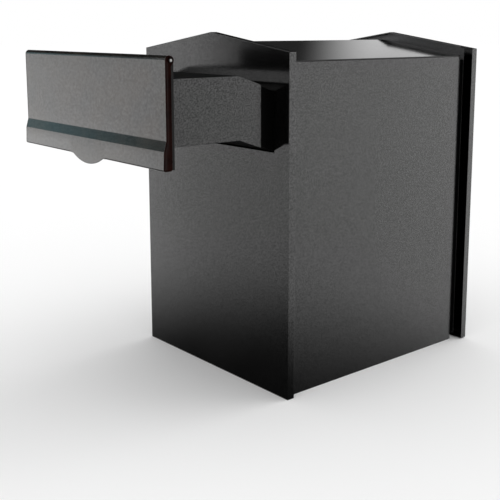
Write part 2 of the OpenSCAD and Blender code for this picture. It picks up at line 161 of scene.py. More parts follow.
def inner_faces_and_gap_shade(tree, place):
    """Two masks: faces that look towards the middle of the cabinet, without the margins that
    stand out past the door's seal, and the door's own edge strip below the side panels' top, which
    gets painted shade: black for the shadowed gap there."""
    away = tree.nodes.new("ShaderNodeVectorMath")
    away.operation = "SUBTRACT"
    away.inputs[1].default_value = (0, 0, EAVE / 2)
    link(tree, place, away.inputs[0])
    outward = tree.nodes.new("ShaderNodeVectorMath")
    outward.operation = "DOT_PRODUCT"
    link(tree, away.outputs[0], outward.inputs[0])
    link(tree, face_normal(tree), outward.inputs[1])
    inward = smooth_range(tree, outward.outputs["Value"], -0.08, -0.14)

    x, y, z = split_xyz(tree, place)
    seal_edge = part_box("door_gasket")[1].x
    side_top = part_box("right_side_panel")[1].z
    within = smooth_range(tree, math_node(tree, "ABSOLUTE", x),
                          seal_edge + 0.5 * MM, seal_edge - 1.5 * MM)
    below = smooth_range(tree, z, side_top + 1 * MM, side_top - 1 * MM)
    rear = smooth_range(tree, y, 0.0, 0.1)
    # Painted shade: mask of the door's edge strip in the shadowed gap below the side panels' top.
    shaded_strip = math_node(tree, "MULTIPLY", math_node(tree, "MULTIPLY", below, rear),
                       math_node(tree, "SUBTRACT", 1.0, within))
    return (math_node(tree, "MULTIPLY", inward, within),
            math_node(tree, "MULTIPLY", inward, shaded_strip))


def bumps(tree, shader, *layers):
    """Stacks bump layers, each (height, depth in mm, strength), on a shader's normal."""
    below = None
    for height, depth, strength in layers:
        bump = add(tree, "ShaderNodeBump", Strength=strength, Distance=depth * MM)
        link(tree, height, bump.inputs["Height"])
        if below:
            link(tree, below, bump.inputs["Normal"])
        below = bump.outputs["Normal"]
    link(tree, below, shader.inputs["Normal"])


def new_material(name):
    """A material, its node tree, its shader and the place on the object that it is read at."""
    material = bpy.data.materials.new(name)
    material.use_nodes = True
    tree = material.node_tree
    place = tree.nodes.new("ShaderNodeTexCoord").outputs["Object"]
    return material, tree, tree.nodes["Principled BSDF"], place


# ---- Materials ----

def powder_coat(name, colour, rough, gloss=0.5, grain=0.25, peel=0.06, flecks=0.46,
                inner=False, shaded_tops=False):
    """Powder-coated sheet: fine grain over a faint orange peel, with dark metallic flecks that
    speckle the gloss. With inner, faces turned to the middle of the cabinet are a duller,
    paler grey, and the door's edge strip in the gap below the side panels' top is painted black as
    shade. A flag for the tops makes the upper edges matt black: painted shade."""
    material, tree, shader, place = new_material(name)
    fine = noise(tree, place, FINE, 2.0, 0.6)
    coarse = noise(tree, place, FLECKS, 3.0, 0.65)
    broad = noise(tree, place, CLOUDS, 3.0)

    dark = [0.75 * c for c in colour]
    light = [1.25 * c for c in colour]
    tint = blend_colours(tree, smooth_range(tree, fine, 0.3, 0.7), dark, light)
    dull = smooth_range(tree, broad, 0.3, 0.7, 0.9 * rough, 1.12 * rough)
    metal = smooth_range(tree, coarse, 0.38, 0.62, 0.0, flecks)
    if inner:
        inward, gap_shade = inner_faces_and_gap_shade(tree, place)
        grey = blend_colours(tree, smooth_range(tree, coarse, 0.3, 0.7),
                             (0.042, 0.042, 0.043), (0.058, 0.058, 0.059))
        tint = mix_colours(tree, inward, tint, grey)
        dull = math_node(tree, "MULTIPLY_ADD", inward, 0.3, dull)
        # Painted shade: the door's edge strip in the gap is made black, with no gloss.
        metal = math_node(tree, "MAXIMUM", metal, gap_shade)
    if shaded_tops:
        # Painted shade: faces that look up are made matt black, with no gloss.
        up = smooth_range(tree, split_xyz(tree, face_normal(tree))["Z"], 0.4, 0.7)
        metal = math_node(tree, "MAXIMUM", metal, up)
        dull = math_node(tree, "MULTIPLY_ADD", up, 0.6, dull)
    link(tree, tint, shader.inputs["Base Color"])
    link(tree, dull, shader.inputs["Roughness"])
    if flecks:
        link(tree, metal, shader.inputs["Metallic"])
    # Raised by what the flecks take away from the gloss on average
    shader.inputs["Specular IOR Level"].default_value = gloss / (1 - flecks / 2)
    bumps(tree, shader, (coarse, 0.25, peel), (fine, 0.08, grain))
    return material


def sleeve_coat():
    """Grey coat of the sleeve's cheeks. Its level top and its underside are painted matt black:
    painted shade under it, and on top a painted dark reflection.
    """
    material = powder_coat("sleeve_paint", (0.008, 0.008, 0.008), 0.16, gloss=0.36, flecks=0.72)
    tree = material.node_tree
    shader = tree.nodes["Principled BSDF"]
    up = split_xyz(tree, face_normal(tree))["Z"]
    # Painted shade: the level top and the underside are made matt black.
    black = math_node(tree, "MAXIMUM", smooth_range(tree, up, 0.97, 0.99),
                      smooth_range(tree, up, -0.6, -0.9))
    metal = shader.inputs["Metallic"].links[0].from_socket
    dull = shader.inputs["Roughness"].links[0].from_socket
    tint = shader.inputs["Base Color"].links[0].from_socket
    # Near-black colour of the painted shade.
    shade_black = blend_colours(tree, dull, (0.0008, 0.0008, 0.0008), (0.0014, 0.0014, 0.0014))
    link(tree, math_node(tree, "MAXIMUM", metal, black), shader.inputs["Metallic"])
    link(tree, math_node(tree, "MULTIPLY_ADD", black, 0.6, dull), shader.inputs["Roughness"])
    link(tree, mix_colours(tree, black, tint, shade_black), shader.inputs["Base Color"])
    return material


def bronze_coat():
    """Satin metallic lacquer of the flap: warm grey, cloudy in tone, with small dark flakes."""
    material, tree, shader, place = new_material("bronze_coat")
    flake = noise(tree, place, 230, 2.0, 0.7)
    cloud = noise(tree, place, 12, 3.0)
    fine = noise(tree, place, FINE, 2.0)
    link(tree, blend_colours(tree, smooth_range(tree, cloud, 0.35, 0.65),
                             (0.006, 0.0066, 0.0062), (0.017, 0.0125, 0.008)),
         shader.inputs["Base Color"])
    link(tree, smooth_range(tree, cloud, 0.3, 0.7, 0.14, 0.19), shader.inputs["Roughness"])
    link(tree, smooth_range(tree, flake, 0.3, 0.7, 0.0, 0.32), shader.inputs["Metallic"])
    shader.inputs["Specular IOR Level"].default_value = 0.78
    bumps(tree, shader, (fine, 0.08, 0.1))
    return material


def cap_coat():
    """Dark red-brown lacquer of the flap's end caps."""
    material, tree, shader, place = new_material("cap_coat")
    fine = noise(tree, place, 700, 2.0)
    cloud = noise(tree, place, 40, 2.0)
    link(tree, blend_colours(tree, smooth_range(tree, cloud, 0.35, 0.65),
                             (0.0045, 0.0010, 0.0007), (0.010, 0.0026, 0.0018)),
         shader.inputs["Base Color"])
    link(tree, smooth_range(tree, cloud, 0.3, 0.7, 0.24, 0.34), shader.inputs["Roughness"])
    bumps(tree, shader, (fine, 0.08, 0.15))
    shader.inputs["Specular IOR Level"].default_value = 0.02
    return material


def bare_steel(name, colour, rough, brushed=0.0):
    """Plated or polished steel with fine scratches along the part and a faint mottle."""
    material, tree, shader, place = new_material(name)
    scale = tree.nodes.new("ShaderNodeMapping")
    scale.inputs["Scale"].default_value = (1.0, 1.0, 0.08)
    link(tree, place, scale.inputs["Vector"])
    scratch = noise(tree, scale.outputs[0], 1500, 3.0, 0.6)
    mottle = noise(tree, place, 180, 3.0)
    link(tree, blend_colours(tree, smooth_range(tree, mottle, 0.3, 0.7),
                             [0.8 * c for c in colour], colour), shader.inputs["Base Color"])
    link(tree, smooth_range(tree, mottle, 0.3, 0.7, 0.8 * rough, 1.3 * rough),
         shader.inputs["Roughness"])
    bumps(tree, shader, (scratch, 0.04, 0.1 + brushed))
    shader.inputs["Metallic"].default_value = 1.0
    return material


def rubber():
    """Matt black rubber with a faint sheen and a moulded grain."""
    material, tree, shader, place = new_material("rubber")
    grain = noise(tree, place, 1100, 3.0, 0.7)
    link(tree, blend_colours(tree, grain, (0.006, 0.006, 0.006), (0.016, 0.016, 0.017)),
         shader.inputs["Base Color"])
    link(tree, smooth_range(tree, grain, 0.3, 0.7, 0.55, 0.8), shader.inputs["Roughness"])
    bumps(tree, shader, (grain, 0.1, 0.3))
    shader.inputs["Specular IOR Level"].default_value = 0.35
    return material


FINISH = {
    "plate_paint": powder_coat("plate_paint", (0.0024, 0.0024, 0.0024), 0.12, gloss=0.52,
                               flecks=0.58, inner=True, shaded_tops=True),
    "panel_paint": powder_coat("panel_paint", (0.0055, 0.0055, 0.0055), 0.15, gloss=0.49,
                               flecks=0.5, inner=True),
    "roof_paint": powder_coat("roof_paint", (0.001, 0.001, 0.001), 0.1, grain=0.06, peel=0.02,
                              flecks=0.18, inner=True),
    "inner_paint": powder_coat("inner_paint", (0.003, 0.003, 0.003), 0.35, gloss=0.12, flecks=0),
    "collar_black": powder_coat("collar_black", (0.0009, 0.0009, 0.0009), 0.4, gloss=0.03,
                                flecks=0),
    "sleeve_paint": sleeve_coat(),
    "hinge_paint": powder_coat("hinge_paint", (0.01, 0.01, 0.01), 0.3),
    "bronze_coat": bronze_coat(),
    "cap_coat": cap_coat(),
    "zinc_steel": bare_steel("zinc_steel", (0.34, 0.34, 0.33), 0.38, 0.1),
    "spring_steel": bare_steel("spring_steel", (0.42, 0.42, 0.43), 0.22),
    "lock_chrome": bare_steel("lock_chrome", (0.68, 0.68, 0.69), 0.12),
    "rubber": rubber(),
}
SLOT_OF = {part["node"]: part["material_slot"] for part in frame["record"]["subparts"]}


def paint_nodes():
    """Gives every CAD node the finish of its material slot."""
    for name, slot in SLOT_OF.items():
        mesh = NODES[name].data
        mesh.materials.clear()
        mesh.materials.append(FINISH[slot])


def soften(name, width, angle=30, segments=2):
    """Rounds a CAD node's edges, by a width in mm, where its faces turn by more than the angle
    in degrees. Flat faces are first made whole, so that each edge can be rounded."""
    node = NODES[name]
    weld = node.modifiers.new("weld", "WELD")
    weld.merge_threshold = 0.01 * MM
    flat = node.modifiers.new("flat", "DECIMATE")
    flat.decimate_type = "DISSOLVE"
    flat.angle_limit = math.radians(0.8)
    bevel = node.modifiers.new("bevel", "BEVEL")
    bevel.width = width * MM
    bevel.segments = segments
    bevel.limit_method = "ANGLE"
    bevel.angle_limit = math.radians(angle)
    bevel.harden_normals = True


def soften_sheets():
    """Rounds the edges of the CAD nodes that show, each by what its sheet would have."""
    for name in ("front_plate", "rear_door"):
        soften(name, 0.8, segments=3)
    for name in ("left_side_panel", "right_side_panel", "floor_panel", "rear_frame"):
        soften(name, 0.7)
    soften("roof_panel", 0.8, angle=10)
    for name in ("chute_sleeve", "chute_collar", "flap_frame", "baffle_plate"):
        soften(name, 0.6)
    # Where rounded edges meet on the frame, points that coincide become one
    NODES["flap_frame"].modifiers.new("join", "WELD").merge_threshold = 0.005 * MM
    for name in ("chute_ring", "hinge_door_leaf", "hinge_cabinet_leaf", "lock_strike",
                 "baffle_brackets", "lock_cam", "lock_cam_screw", "lock_nut"):
        soften(name, 0.35, angle=40)


# ---- Mesh helpers ----

def ring_faces(rows, count, closed=False):
    """Quads between rows of points, each row a ring. Closed joins the last row to the first."""
    faces = []
    for row in range(rows if closed else rows - 1):
        after = (row + 1) % rows
        for k in range(count):
            n = (k + 1) % count
            faces.append((row * count + k, row * count + n, after * count + n, after * count + k))
    return faces


def end_faces(rows, count):
    """The two faces that close the first and the last ring."""
    return [tuple(reversed(range(count))), tuple((rows - 1) * count + k for k in range(count))]


class Shape:
    """Vertices and faces gathered from one or more closed solids."""

    def __init__(self):
        self.verts = []
        self.faces = []

    def add(self, verts, faces):
        """Adds a solid whose faces count its own vertices from 0."""
        start = len(self.verts)
        self.verts += [tuple(v) for v in verts]
        self.faces += [tuple(start + i for i in face) for face in faces]

    def turned(self, profile, centre, axis, sides=28, closed=False):
        """Solid turned about an axis. The profile holds (height, radius) pairs, where a radius
        may be a function of the angle. A closed profile makes a ring."""
        spin = Vector((0, 0, 1)).rotation_difference(Vector(axis)).to_matrix()
        verts = []
        for height, radius in profile:
            for k in range(sides):
                angle = math.tau * k / sides
                r = radius(angle) if callable(radius) else radius
                verts.append(Vector(centre) + spin @ Vector(
                    (r * math.cos(angle), r * math.sin(angle), height)))
        faces = ring_faces(len(profile), sides, closed)
        if not closed:
            faces += end_faces(len(profile), sides)
        self.add(verts, faces)

    def wire(self, points, radius, sides=10):
        """Round wire along a line of points."""
        points = [Vector(p) for p in points]
        normal = None
        verts = []
        for i, point in enumerate(points):
            ahead = points[min(i + 1, len(points) - 1)]
            tangent = (ahead - points[max(i - 1, 0)]).normalized()
            if normal is None:
                normal = tangent.orthogonal().normalized()
            normal = (normal - tangent * normal.dot(tangent)).normalized()
            across = tangent.cross(normal)
            for k in range(sides):
                angle = math.tau * k / sides
                verts.append(point + radius * (math.cos(angle) * normal + math.sin(angle) * across))
        self.add(verts, ring_faces(len(points), sides) + end_faces(len(points), sides))

    def piece(self, name, slot, body, stands_for=(), smooth=35):
        """Object of this shape, painted, riding on a body and standing for CAD nodes. Edges
        sharper than smooth, in degrees, stay sharp."""
        mesh = bpy.data.meshes.new(name)
        mesh.from_pydata(self.verts, [], self.faces)
        work = bmesh.new()
        work.from_mesh(mesh)
        bmesh.ops.recalc_face_normals(work, faces=work.faces)
        work.to_mesh(mesh)
        work.free()
        mesh.shade_smooth()
        mesh.set_sharp_from_angle(angle=math.radians(smooth))
        mesh.materials.append(FINISH[slot])
        piece = bpy.data.objects.new(name, mesh)
        bpy.context.scene.collection.objects.link(piece)
        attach(piece, body)
        if stands_for:
            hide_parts(*stands_for)
        return piece


def arc(centre, radius, start, end, steps=8):
    """Points of a plane arc between two angles in degrees."""
    angles = [math.radians(start + (end - start) * i / steps) for i in range(steps + 1)]
    return [(centre[0] + radius * math.cos(a), centre[1] + radius * math.sin(a)) for a in angles]


def rounded_corner(before, corner, after, radius, steps=5):
    """Points of an arc that rounds the corner between two straight lines."""
    a = (Vector(before) - Vector(corner)).normalized()
    b = (Vector(after) - Vector(corner)).normalized()
    half = 0.5 * math.acos(max(-1.0, min(1.0, a.dot(b))))
    reach = radius / math.tan(half)
    start = Vector(corner) + a * reach
    end = Vector(corner) + b * reach
    centre = Vector(corner) + (a + b).normalized() * (radius / math.sin(half))
    points = []
    for i in range(steps + 1):
        way = (start - centre).lerp(end - centre, i / steps).normalized()
        points.append(tuple(centre + radius * way))
    return points


def inset(outline, distance):
    """Closed outline moved inwards by a distance. The outline runs counterclockwise."""
    moved = []
    count = len(outline)
    for i, point in enumerate(outline):
        before = (Vector(point) - Vector(outline[i - 1])).normalized()
        after = (Vector(outline[(i + 1) % count]) - Vector(point)).normalized()
        inward = Vector((-before.y - after.y, before.x + after.x)).normalized()
        stretch = max(0.5, inward.dot(Vector((-after.y, after.x))))
        moved.append(tuple(Vector(point) + inward * distance / stretch))
    return moved


# ---- Flap ----

def flap_front():
    """The flap's outline in front, as (y, z): its rolled top edge and the step above the lip."""
    points = arc((FLAP_FACE + TOP_ROUND, FLAP_PIN.z), TOP_ROUND, 90, 180, 10)
    main = (FLAP_FACE, FLAP_PIN.z)
    bend_1 = (FLAP_FACE, STEP_TOP)
    bend_2 = (FLAP_LIP + LIP_LEAN, STEP_LOW)
    foot = (FLAP_LIP, FLAP_LOW)
    points += rounded_corner(main, bend_1, bend_2, BEND_R)
    points += rounded_corner(bend_1, bend_2, foot, BEND_R)
    return points


def tab_edge(x):
    """Height of the lip's lower edge: a shallow arc for the fingers, blended in at both ends."""
    drop = FLAP_LOW - SKIN_LOW.z
    half = 48.5 * MM
    fillet = 12 * MM
    radius = (half ** 2 + drop ** 2) / (2 * drop)
    middle = FLAP_LOW - drop + radius
    blend_x = math.sqrt((radius + fillet) ** 2 - (middle - FLAP_LOW + fillet) ** 2)
    touch_x = blend_x * radius / (radius + fillet)
    if abs(x) <= touch_x:
        return middle - math.sqrt(radius ** 2 - x ** 2)
    if abs(x) <= blend_x:
        return FLAP_LOW - fillet + math.sqrt(fillet ** 2 - (abs(x) - blend_x) ** 2)
    return FLAP_LOW


def make_flap_skin():
    """Front skin in one bent sheet: rolled top, step, lip, folded foot and finger tab. The foot
    is folded back on both sides of the tab's stretch, and there the sheet hangs straight."""
    half = SKIN_HIGH.x
    tab_stretch = 56 * MM
    fold_r = 2.6 * MM
    upper = [(FLAP_PIN.y, FLAP_TOP)] + flap_front()
    fold_top = FLAP_LOW + fold_r
    fold = arc((FLAP_LIP + fold_r, fold_top), fold_r, 180, 270, 5) + [
        ((FLAP_LIP + fold_r + RETURN_END) / 2, FLAP_LOW), (RETURN_END, FLAP_LOW)]

    shape = Shape()

    def grid(columns):
        """Adds a sheet through columns of points."""
        rows = len(columns[0])
        faces = [(c * rows + r, c * rows + r + 1, (c + 1) * rows + r + 1, (c + 1) * rows + r)
                 for c in range(len(columns) - 1) for r in range(rows - 1)]
        shape.add([v for column in columns for v in column], faces)

    side_steps = 12
    for side in (-1, 1):
        xs = [side * (tab_stretch + (half - tab_stretch) * i / side_steps)
              for i in range(side_steps + 1)]
        grid([[(x, y, z) for y, z in upper + fold] for x in xs])
    tab_steps = 64
    xs = [tab_stretch * (2 * i / tab_steps - 1) for i in range(tab_steps + 1)]
    columns = []
    for x in xs:
        foot = tab_edge(x)
        below = [(FLAP_LIP, fold_top + (foot - fold_top) * i / 4) for i in range(5)]
        columns.append([(x, y, z) for y, z in upper + below])
    grid(columns)

    # The three sheets join along the tab's stretch, above the fold, and face outwards
    skin = shape.piece("flap_skin", "bronze_coat", "flap", ["flap_panel"], smooth=60)
    work = bmesh.new()
    work.from_mesh(skin.data)
    seam = [v for v in work.verts if v.co.z > fold_top - 0.01 * MM]
    bmesh.ops.remove_doubles(work, verts=seam, dist=0.005 * MM)
    for face in work.faces:
        face.normal_update()
    outward = sum(f.normal.y * f.calc_area() for f in work.faces)
    if outward > 0:
        bmesh.ops.reverse_faces(work, faces=work.faces)
    work.to_mesh(skin.data)
    work.free()
    thick = skin.modifiers.new("thickness", "SOLIDIFY")
    thick.thickness = SKIN_SHEET
    thick.offset = -1
    thick.use_even_offset = True
    rim = skin.modifiers.new("rim", "BEVEL")
    rim.width = 0.45 * MM
    rim.segments = 2
    rim.limit_method = "ANGLE"
    rim.angle_limit = math.radians(50)
    rim.harden_normals = True


def cap_outline():
    """Side view of an end cap as (y, z), counterclockwise seen from the right."""
    eye_r = CAP_HIGH.y - FLAP_PIN.y
    front_r = 3 * MM
    back_r = 4 * MM
    points = arc((FLAP_PIN.y, FLAP_PIN.z), eye_r, -50, 90, 12)
    points += flap_front()
    points += arc((FLAP_LIP + front_r, FLAP_LOW + front_r), front_r, 180, 270, 5)
    points += arc((RETURN_END - back_r, FLAP_LOW + back_r), back_r, 270, 360, 6)
    points.append((RETURN_END, FLAP_PIN.z - TOP_ROUND - SHEET))
    return points


def make_end_cap(side, name, stands_for):
    """Moulded cap with a hole for the pin: a rounded rim round a shallow field."""
    outline = cap_outline()
    inner = side * CAP_LOW.x
    outer = side * CAP_HIGH.x
    rim = side * 0.5 * MM
    field = outer - 1.1 * rim
    loops = [(inner, outline), (outer - rim, outline),
             (outer - 0.15 * rim, inset(outline, 0.35 * MM)),
             (outer, inset(outline, 0.8 * MM)), (outer, inset(outline, 1.7 * MM)),
             (field, inset(outline, 2.2 * MM))]
    count = len(outline)
    verts = [(x, y, z) for x, loop in loops for y, z in loop]
    shape = Shape()
    shape.add(verts, ring_faces(len(loops), count))
    cap = shape.piece(name, "cap_coat", "flap", [stands_for], smooth=50)

    hole_r = 2.06 * MM
    steps = 20
    work = bmesh.new()
    work.from_mesh(cap.data)
    rims = list(work.verts)
    rings = []
    for x, rim_loop in ((inner, rims[:count]), (field, rims[-count:])):
        ring = [work.verts.new((x, FLAP_PIN.y + hole_r * math.cos(math.tau * k / steps),
                                FLAP_PIN.z + hole_r * math.sin(math.tau * k / steps)))
                for k in range(steps)]
        rings.append(ring)
        edges = [work.edges.new((ring[k], ring[(k + 1) % steps])) for k in range(steps)]
        edges += [work.edges.get((rim_loop[i], rim_loop[(i + 1) % count])) for i in range(count)]
        bmesh.ops.triangle_fill(work, edges=edges, use_beauty=True)
    near, far = rings
    for k in range(steps):
        n = (k + 1) % steps
        work.faces.new((near[k], near[n], far[n], far[k]))
    bmesh.ops.recalc_face_normals(work, faces=work.faces)
    for face in work.faces:
        face.smooth = True
    work.to_mesh(cap.data)
    work.free()
    cap.data.set_sharp_from_angle(angle=math.radians(50))


def make_springs():
    """Torsion springs: a coil and a leg on the frame, and a leg that follows the flap."""
    wire_r = 0.7 * MM
    low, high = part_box("flap_springs")
    coil_r = high.y - FLAP_PIN.y - wire_r
    leg_end = low.z + wire_r
    outer = high.x - wire_r
    length = 18 * MM
    turns = 11
    steps = 20 * turns
    leg_steps = 6
    leg_z = [leg_end + (FLAP_PIN.z - leg_end) * i / leg_steps for i in range(leg_steps + 1)]
    fixed = Shape()
    moving = Shape()
    for side in (-1, 1):
        x_far = side * outer
        x_near = side * (outer - length + 2 * wire_r)
        coil = []
        for i in range(steps + 1):
            angle = math.tau * (turns + 0.5) * i / steps
            x = x_far + (x_near - x_far) * i / steps
            coil.append((x, FLAP_PIN.y + coil_r * math.cos(angle),
                         FLAP_PIN.z + coil_r * math.sin(angle)))
        leg = [(x_far, FLAP_PIN.y + coil_r, z) for z in leg_z[:-1]]
        fixed.wire(leg + coil, wire_r)
        moving.wire([(x_near, FLAP_PIN.y - coil_r, z) for z in leg_z], wire_r)
    fixed.piece("flap_spring_coils", "spring_steel", "cabinet", ["flap_springs"])
    moving.piece("flap_spring_legs", "spring_steel", "flap", ["flap_springs"])


# ---- Fasteners ----

def hexagon(across_flats, most=1.0):
    """Radius of a hexagon by angle. Its corners are cut back to a circle of most times their
    reach."""
    def radius(angle):
        away = (math.degrees(angle) % 60) - 30
        flat = across_flats / 2 / math.cos(math.radians(away))
        return min(flat, most * across_flats / math.sqrt(3))
    return radius


def dome(shape, centre, axis, radius, height, shank=0.0):
    """Domed rivet head with a shank behind it."""
    profile = [(-shank, 0.5 * radius), (0, 0.5 * radius), (0, radius)] if shank else [(0, radius)]
    profile += [(0.25 * height, radius)]
    profile += [(height * (0.25 + 0.75 * math.sin(a)), radius * math.cos(a))
                for a in (math.radians(15 * i) for i in range(1, 6))]
    profile.append((height, 0.06 * radius))
    shape.turned(profile, centre, axis)


def make_rivets():
    """Six rivets in each hinge leaf, with domed heads, and upset ends inside the door."""
    rows = 6
    leaf_low, leaf_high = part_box("hinge_cabinet_leaf")
    pitch = (leaf_high.z - leaf_low.z) / rows
    side_low, side_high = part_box("hinge_cabinet_rivets")
    door_low, door_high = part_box("hinge_door_rivets")
    head = 1 * MM
    on_side = Shape()
    on_door = Shape()
    for i in range(rows):
        z = leaf_low.z + (i + 0.5) * pitch
        y = (side_low.y + side_high.y) / 2
        dome(on_side, (side_low.x + head, y, z), (-1, 0, 0), (side_high.y - side_low.y) / 2, head,
             side_high.x - side_low.x - head)
        x = (door_low.x + door_high.x) / 2
        r = (door_high.x - door_low.x) / 2
        dome(on_door, (x, door_high.y - head, z), (0, 1, 0), r, head,
             door_high.y - door_low.y - 2 * head)
        dome(on_door, (x, door_low.y + head, z), (0, -1, 0), r - 0.7 * MM, head)
    on_side.piece("side_hinge_rivets", "hinge_paint", "cabinet", ["hinge_cabinet_rivets"])
    on_door.piece("door_hinge_rivets", "plate_paint", "door", ["hinge_door_rivets"])


def thread(start, end, radius, pitch):
    """Profile of a threaded rod between two heights."""
    rows = [(start, radius - 0.5 * pitch)]
    turns = int((end - start) / pitch)
    for i in range(turns):
        rows += [(start + (i + 0.25) * pitch, radius - 0.5 * pitch),
                 (start + (i + 0.65) * pitch, radius)]
    rows += [(end, radius - 0.6 * pitch), (end, 0.1 * radius)]
    return rows


def solid_boxes(name):
    """Lowest and highest corner of each loose solid of a CAD node."""
    work = bmesh.new()
    work.from_mesh(NODES[name].data)
    bmesh.ops.remove_doubles(work, verts=work.verts, dist=0.01 * MM)
    left = set(work.verts)
    boxes = []
    while left:
        group = {left.pop()}
        front = list(group)
        while front:
            vert = front.pop()
            for edge in vert.link_edges:
                other = edge.other_vert(vert)
                if other in left:
                    left.discard(other)
                    group.add(other)
                    front.append(other)
        low = Vector([min(v.co[i] for v in group) for i in range(3)])
        high = Vector([max(v.co[i] for v in group) for i in range(3)])
        boxes.append((low, high))
    work.free()
    return sorted(boxes, key=lambda box: tuple(box[0]))


def make_studs_and_nuts():
    """Threaded studs round the collar's ring, each with a chamfered nut."""
    studs = Shape()
    for low, high in solid_boxes("chute_studs"):
        x, z = (low.x + high.x) / 2, (low.z + high.z) / 2
        profile = thread(0, high.y - low.y, (high.z - low.z) / 2, 0.7 * MM)
        studs.turned(profile, (x, low.y, z), (0, 1, 0), 16)
    studs.piece("ring_studs", "zinc_steel", "cabinet", ["chute_studs"])

    nuts = Shape()
    flats = 7 * MM
    bore_r = 2.05 * MM
    mouth_r = 2.4 * MM
    mouth = 0.4 * MM
    for low, high in solid_boxes("chute_nuts"):
        x, z = (low.x + high.x) / 2, (low.z + high.z) / 2
        deep = high.y - low.y
        edge = 0.14 * deep
        profile = [(0, hexagon(flats, 0.88)), (edge, hexagon(flats)),
                   (deep - edge, hexagon(flats)), (deep, hexagon(flats, 0.88)),
                   (deep, mouth_r), (deep - mouth, bore_r), (mouth, bore_r), (0, mouth_r)]
        nuts.turned(profile, (x, low.y, z), (0, 1, 0), 24, closed=True)
    nuts.piece("ring_nuts", "zinc_steel", "cabinet", ["chute_nuts"], smooth=20)


def make_lock_barrel():
    """Threaded cam-lock body with a rounded flange round the plug."""
    low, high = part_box("lock_barrel")
    x, z = (low.x + high.x) / 2, (low.z + high.z) / 2
    flange_r = (high.x - low.x) / 2
    body_r = 9.5 * MM
    root_r = body_r - 0.5 * MM
    bore = 6.06 * MM
    length = high.y - low.y
    base = length - 2.5 * MM
    mouth = length - 0.4 * MM
    pitch = 1 * MM
    profile = [(0, bore), (0, body_r - 0.7 * MM)]
    for i in range(int((base - 0.6 * MM) / pitch)):
        profile += [((i + 0.3) * pitch, root_r), ((i + 0.7) * pitch, body_r)]
    profile += [(base, root_r), (base, flange_r - 0.3 * MM), (base + 0.3 * MM, flange_r),
                (base + 0.9 * MM, flange_r), (length - 0.5 * MM, flange_r - 1.6 * MM),
                (length, flange_r - 2.8 * MM), (length, bore + 1.0 * MM),
                (mouth, bore + 0.5 * MM), (mouth, bore)]
    barrel = Shape()
    barrel.turned(profile, (x, low.y, z), (0, 1, 0), 48, closed=True)
    barrel.piece("lock_body", "lock_chrome", "door", ["lock_barrel"])


# ---- Rubber ----

def make_gasket():
    """Rubber bulb seal round the door frame, mitred at its five corners."""
    low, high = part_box("door_gasket")
    wide = 11 * MM
    tall = high.y - low.y
    corners = 5

    def outline(inward):
        """The frame's gabled outline, moved inwards, as (x, z)."""
        ridge = high.z - inward
        edge = high.x - inward
        return [(-edge, low.z + inward), (edge, low.z + inward), (edge, ridge - edge * SLOPE),
                (0, ridge), (-edge, ridge - edge * SLOPE)]

    # Section from the outer edge to the inner, as shares of the width and the height
    section = [(0.0, 0.0), (0.0, 0.3), (0.12, 0.36), (0.2, 0.5)]
    section += [(0.5 - 0.3 * math.cos(a), 0.5 + 0.5 * math.sin(a))
                for a in (math.radians(15 * i) for i in range(1, 12))]
    section += [(0.8, 0.5), (0.88, 0.36), (1.0, 0.3), (1.0, 0.0)]
    verts = [(x, low.y + v * tall, z) for u, v in section for x, z in outline(u * wide)]
    seal = Shape()
    seal.add(verts, ring_faces(len(section), corners, closed=True))
    seal.piece("door_seal", "rubber", "cabinet", ["door_gasket"], smooth=40)


def make_bumpers():
    """Rubber stops with a waist and a rounded nose."""
    low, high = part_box("flap_bumpers")
    r = (high.z - low.z) / 2
    length = high.y - low.y
    z = (low.z + high.z) / 2
    profile = [(0, 0.3 * r), (0, 0.62 * r), (0.08 * length, 0.82 * r), (0.2 * length, 0.92 * r),
               (0.4 * length, 0.92 * r), (0.5 * length, 0.8 * r), (0.62 * length, 0.8 * r),
               (0.72 * length, r), (length, r)]
    stops = Shape()
    for side in (-1, 1):
        stops.turned(profile, (side * (high.x - r), low.y, z), (0, 1, 0))
    stops.piece("flap_stops", "rubber", "cabinet", ["flap_bumpers"])


# ---- Camera, floor and light ----

def make_camera():
    """A 63 mm lens about 1.4 m from the front right corner, with its eye at ridge height."""
    data = bpy.data.cameras.new("camera")
    data.lens = 63.3
    data.sensor_width = 36.0
    data.shift_x = -0.0174
    data.shift_y = -0.1438
    data.clip_end = 50.0
    camera = bpy.data.objects.new("camera", data)
    bpy.context.scene.collection.objects.link(camera)
    camera.location = (PLATE_HIGH.x + 1.781 * EAVE, PLATE_LOW.y - 1.613 * EAVE, 1.0613 * EAVE)
    camera.rotation_euler = (math.radians(90 - 9.644), 0, math.radians(49.83))
    bpy.context.scene.camera = camera


def make_floor():
    """Plain pale floor, which glossy paint doesn't reflect: the world has its own floor part."""
    bpy.ops.mesh.primitive_plane_add(size=60, location=(0, 0, 0))
    floor = bpy.context.object
    floor.name = "floor"
    material, _, shader, _ = new_material("pale_floor")
    shader.inputs["Base Color"].default_value = (0.9, 0.9, 0.9, 1)
    shader.inputs["Roughness"].default_value = 0.9
    shader.inputs["Specular IOR Level"].default_value = 0.0
    floor.data.materials.append(material)
    floor.visible_glossy = False


def make_sun():
    """Broad, weak light from high behind the object, so that a faint shadow falls to the front."""
    data = bpy.data.lights.new("sun", "SUN")
    data.angle = math.radians(50)
    data.energy = 0.69
    sun = bpy.data.objects.new("sun", data)
    sun.rotation_euler = Vector((-0.6, -2.3, -2.4)).to_track_quat("-Z", "Y").to_euler()
    sun.visible_glossy = False
    bpy.context.scene.collection.objects.link(sun)


